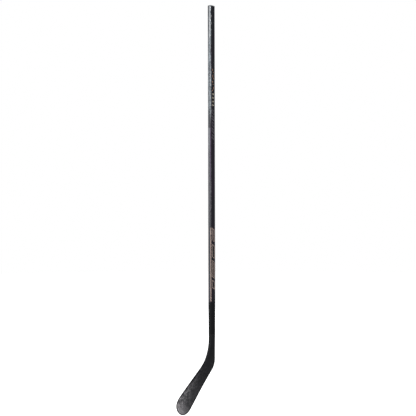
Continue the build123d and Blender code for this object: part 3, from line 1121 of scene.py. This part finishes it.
def ink_ribbon(path, width, closed=False, columns=4):
    """Points and faces of a flat ribbon along a path of (around, z), with mitred corners."""
    spots = [Vector(p) for p in path]
    rings = []
    for index, spot in enumerate(spots):
        ways = []
        if closed or index > 0:
            ways.append((spot - spots[index - 1]).normalized())
        if closed or index + 1 < len(spots):
            ways.append((spots[(index + 1) % len(spots)] - spot).normalized())
        square = [Vector((-way.y, way.x)) for way in ways]
        normal = sum(square, Vector((0, 0))).normalized()
        reach = width / 2 / normal.dot(square[0])
        line = [spot + normal * reach * (2 * column / columns - 1) for column in range(columns + 1)]
        ring = [on_shaft(p.x, p.y, ink_rise) for p in line]
        rings.append(ring + [on_shaft(p.x, p.y, ink_sink) for p in line[::-1]])
    return join_rings(rings, closed)


def ink_line(name, path, width, material, slot, closed=False):
    """One printed line on the forehand side, and its mirror on the backhand."""
    for side, way in {"forehand": 1, "backhand": -1}.items():
        ribbon = ink_ribbon([(around * way, z) for around, z in path], width, closed)
        make_piece(f"{name}_{side}", ribbon, material, slot)


def wide_path(*spots):
    """A path on the wide face through spots of (t, z)."""
    return [(wide_line(z, t), z) for t, z in spots]


def frame_path(high, low, side, slant):
    """A closed path on the wide face: a frame between two heights, with slanted ends."""
    return wide_path((side, high), (-side, high - slant), (-side, low - slant), (side, low))


def ink_finish(name, low, high, metal=0.0, wear=0.3, rough=0.35):
    """Printed ink, uneven in strength and rubbed through in small spots."""
    material, place = begin(name)
    x, y, z = place.xyz()
    cloud = noise(vector(x, y, z * 0.4), 0.35, 5.0, 0.6)
    rub = noise(vector(x, y, z * 0.7), 1.3, 4.0, 0.7).fade(0.52, 0.62)
    colour = (rub * wear).mix(cloud.fade(0.3, 0.7).mix(low, high), (0.02, 0.018, 0.02))
    grain = noise(place, 5.0, 2.0)
    roughness = rough + 0.15 * cloud + 0.1 * rub
    relief = grain * 0.5 + cloud * 0.5
    return end(material, colour, roughness, relief, 0.02, metallic=metal, coat_weight=0.5)


copper_ink = ink_finish("copper_ink", (0.56, 0.39, 0.32), (0.84, 0.66, 0.57), 0.15, wear=0.2)
plum_ink = ink_finish("plum_ink", (0.06, 0.03, 0.075), (0.12, 0.075, 0.145))
amber_ink = ink_finish("amber_ink", (0.24, 0.12, 0.07), (0.42, 0.25, 0.17))
cream_ink = ink_finish("cream_ink", (0.28, 0.25, 0.19), (0.46, 0.42, 0.33))
smoke_ink = ink_finish("smoke_ink", (0.07, 0.06, 0.075), (0.18, 0.165, 0.19))
dark_ink = ink_finish("dark_ink", (0.012, 0.013, 0.017), (0.035, 0.038, 0.045))
print("inks:", len([m for m in bpy.data.materials if m.name.endswith("_ink")]))

# %% [markdown]
# ### Copper frames on the lower films
#
# A pinstripe runs down the corner beside four slanted frames, two of them with a line inside like the
# slot of a vent. Their heights are shares of the film, so they follow it.

# %% Copper frames
film_length = lower_film[1] - lower_film[0]
frame_side = 6.6 * mm
frame_slant = 9 * mm
frame_line = 1.3 * mm
vent_place = -0.4 * mm
vent_gap = 5 * mm
vent_line = 0.9 * mm
stripe_shift = -1.3 * mm
stripe_gap = 2 * mm
stripe_line = 2.0 * mm
stripe_steps = 12
frames = {
    "first": (0.985, 0.83, True),
    "second": (0.765, 0.605, False),
    "third": (0.55, 0.335, True),
    "fourth": (0.285, 0.19, False),
}
for name, (top, bottom, vented) in frames.items():
    high, low = (lower_film[0] + film_length * share for share in (top, bottom))
    path = frame_path(high, low, frame_side, frame_slant)
    ink_line(f"copper_frame_{name}", path, frame_line, copper_ink, "print_lower", closed=True)
    if vented:
        fall = frame_slant * (frame_side - vent_place) / (2 * frame_side)
        path = wide_path((vent_place, high - fall - vent_gap), (vent_place, low - fall + vent_gap))
        ink_line(f"copper_vent_{name}_1", path, vent_line, copper_ink, "print_lower")
run = film_length - stripe_gap
stripe = [lower_film[1] - stripe_gap - step * run / stripe_steps for step in range(stripe_steps + 1)]
path = [(corner_line(z) + stripe_shift, z) for z in stripe]
ink_line("copper_pinstripe", path, stripe_line, copper_ink, "print_lower")

# %% [markdown]
# ### Small marks on the upper films
#
# The upper print is quieter: a few amber bars, four cream chevrons, smoky outlined frames and a plum
# pinstripe on the corner, with dark dashes on the narrow face. Each group starts a distance below the
# film's top end and goes on in equal steps.

# %% Upper marks
bar_lengths = (9, 5, 11, 6, 8, 4, 10, 6)
bar_places = (3.2, -2.6, 1.0, -4.2, 2.6, -0.6, -3.4, 3.8)


def step_down(film, first, pitch, index):
    """Height of one mark of a group: millimetres below the film's top, and between two marks."""
    return film[1] - (first + pitch * index) * mm


for index, (length, t) in enumerate(zip(bar_lengths, bar_places)):
    top = step_down(upper_film, 30, 13, index)
    path = wide_path((t * mm, top), (t * mm, top - length * mm))
    ink_line(f"amber_bar_{index + 1}", path, 2.8 * mm, amber_ink, "print_upper")
for index in range(4):
    top, half = step_down(upper_film, 136, 16, index), 6 * mm
    path = wide_path((half, top), (0, top - half), (-half, top))
    ink_line(f"cream_chevron_{index + 1}", path, 2.6 * mm, cream_ink, "print_upper")
for index in range(5):
    top = step_down(upper_film, 206, 27, index)
    path = frame_path(top, top - 15 * mm, 5.8 * mm, 7 * mm)
    ink_line(f"smoke_frame_{index + 1}", path, 1.5 * mm, smoke_ink, "print_upper", closed=True)
plum_shift = -2.0 * mm
plum_top, plum_foot = upper_film[1] - 285 * mm, lower_film[1] + 205 * mm
plum_ends = (plum_top, (plum_top + plum_foot) / 2, plum_foot)
path = [(corner_line(z) + plum_shift, z) for z in plum_ends]
ink_line("plum_pinstripe", path, 2.2 * mm, plum_ink, "print_upper")
for index in range(7):
    top = step_down(side_marks, 72, 13, index)
    around = (1.4 - 0.9 * (index % 3)) * mm
    length = (4 + index % 4 * 2) * mm
    path = [(around, top), (around, top - length)]
    ink_line(f"dark_dash_{index + 1}", path, 1.3 * mm, dark_ink, "print_side")

# %% [markdown]
# ## Butt cap
#
# A moulded plug closes the top: a hollow spigot inside the tube and a flange the size of the shaft.
# It is one run of rings, from the spigot's ceiling down its inside, up its outside, out under the
# flange and over the rounded edge to the flat top.

# %% Butt cap
cap_edge = 0.9 * mm
cap_fit = shaft_wall + 0.2 * mm
cap_hollow = cap_fit + 1.7 * mm
flange_inset = 0.15 * mm
flange_bevel = 0.2 * mm
cap_steps = 6


def cap_finish():
    """Moulded grey plastic: spark-textured, with a lighter rubbed rim."""
    material, place = begin("cap_plastic")
    spark = noise(place, 3.2, 3.0, 0.7)
    flow = noise(place, 0.15, 3.0)
    rub = place.node("NewGeometry", output=7).fade(0.5, 0.6)
    grey = flow.mix((0.075, 0.078, 0.085), (0.12, 0.124, 0.132))
    colour = (0.2 + 0.5 * rub).mix(grey, (0.32, 0.33, 0.34))
    return end(material, colour, 0.45 + 0.25 * spark, spark, 0.04)


cap_run = [(shaft_end, cap_hollow), (cap_foot, cap_hollow), (cap_foot, cap_fit), (shaft_end, cap_fit)]
cap_run += [(shaft_end, flange_inset), (shaft_end + flange_bevel, 0)]
for step in range(cap_steps + 1):
    angle = math.pi / 2 * step / cap_steps
    cap_run.append((butt_z - cap_edge * (1 - math.sin(angle)), cap_edge * (1 - math.cos(angle))))
plug = join_rings([plain_ring(z, inset) for z, inset in cap_run], closed=False)
make_piece("butt_end_cap", plug, cap_finish(), "cap_plastic", "butt_cap")

# %% [markdown]
# ## Inside the stick
#
# What holds the stick together shows in a section through the model, so each inner piece gets its own
# finish: closed-cell foam, cured adhesive or bare laminate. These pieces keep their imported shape, and
# only their material changes.


# %% Inner finishes
def foam_finish(name, low, high, cell):
    """Closed-cell foam: small rounded cells, cut open at the surface."""
    material, place = begin(name)
    bubbles = cells(place, 1 / cell, 0.9)
    cloud = noise(place, 0.08, 3.0)
    colour = (bubbles.fade(0.1, 0.7) * 0.6 + cloud * 0.4).mix(low, high)
    return end(material, colour, 0.75 + 0.15 * cloud, bubbles, 0.25)


def bare_laminate_finish():
    """Carbon laminate as it leaves the mould: fibres one way, with the print of the peel ply."""
    material, place = begin("bare_laminate")
    x, y, z = place.xyz()
    fibre = noise(vector(x * 3.0, y * 3.0, z * 0.08), 1.0, 3.0)
    on_top, weave = twill(x + y, z, 0.8)
    colour = (0.7 * fibre + 0.3 * on_top).mix((0.012, 0.012, 0.013), (0.05, 0.05, 0.054))
    return end(material, colour, 0.4 + 0.25 * fibre, weave * 0.6 + fibre * 0.4, 0.05)


inner = {
    foam_finish("core_foam", (0.60, 0.52, 0.34), (0.82, 0.76, 0.58), 0.9): (
        "stop_plug", "hosel_core", "heel_core", "lower_core", "upper_core"),
    foam_finish("toe_foam", (0.48, 0.40, 0.26), (0.68, 0.60, 0.43), 0.5): ("toe_core",),
    filler_finish("cured_adhesive", (0.40, 0.37, 0.28), (0.60, 0.57, 0.47)): ("cap_glue", "tenon_glue"),
    bare_laminate_finish(): ("tenon", "bridge"),
}
for material, nodes in inner.items():
    for node in nodes:
        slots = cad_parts[node].data.materials
        slots.clear()
        slots.append(material)
print("inner nodes:", sum(len(nodes) for nodes in inner.values()))

# %% [markdown]
# ## Sizes and the end
#
# The box of the stick with its looks is set beside the imported one, and how much it grew is printed.

# %% Write the sizes and finish
looks_box = [list(corner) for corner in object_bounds()]
growth = [[round((b - a) / mm, 2) for a, b in zip(*pair)] for pair in zip(cad_box, looks_box)]
print("box grew by mm:", growth)
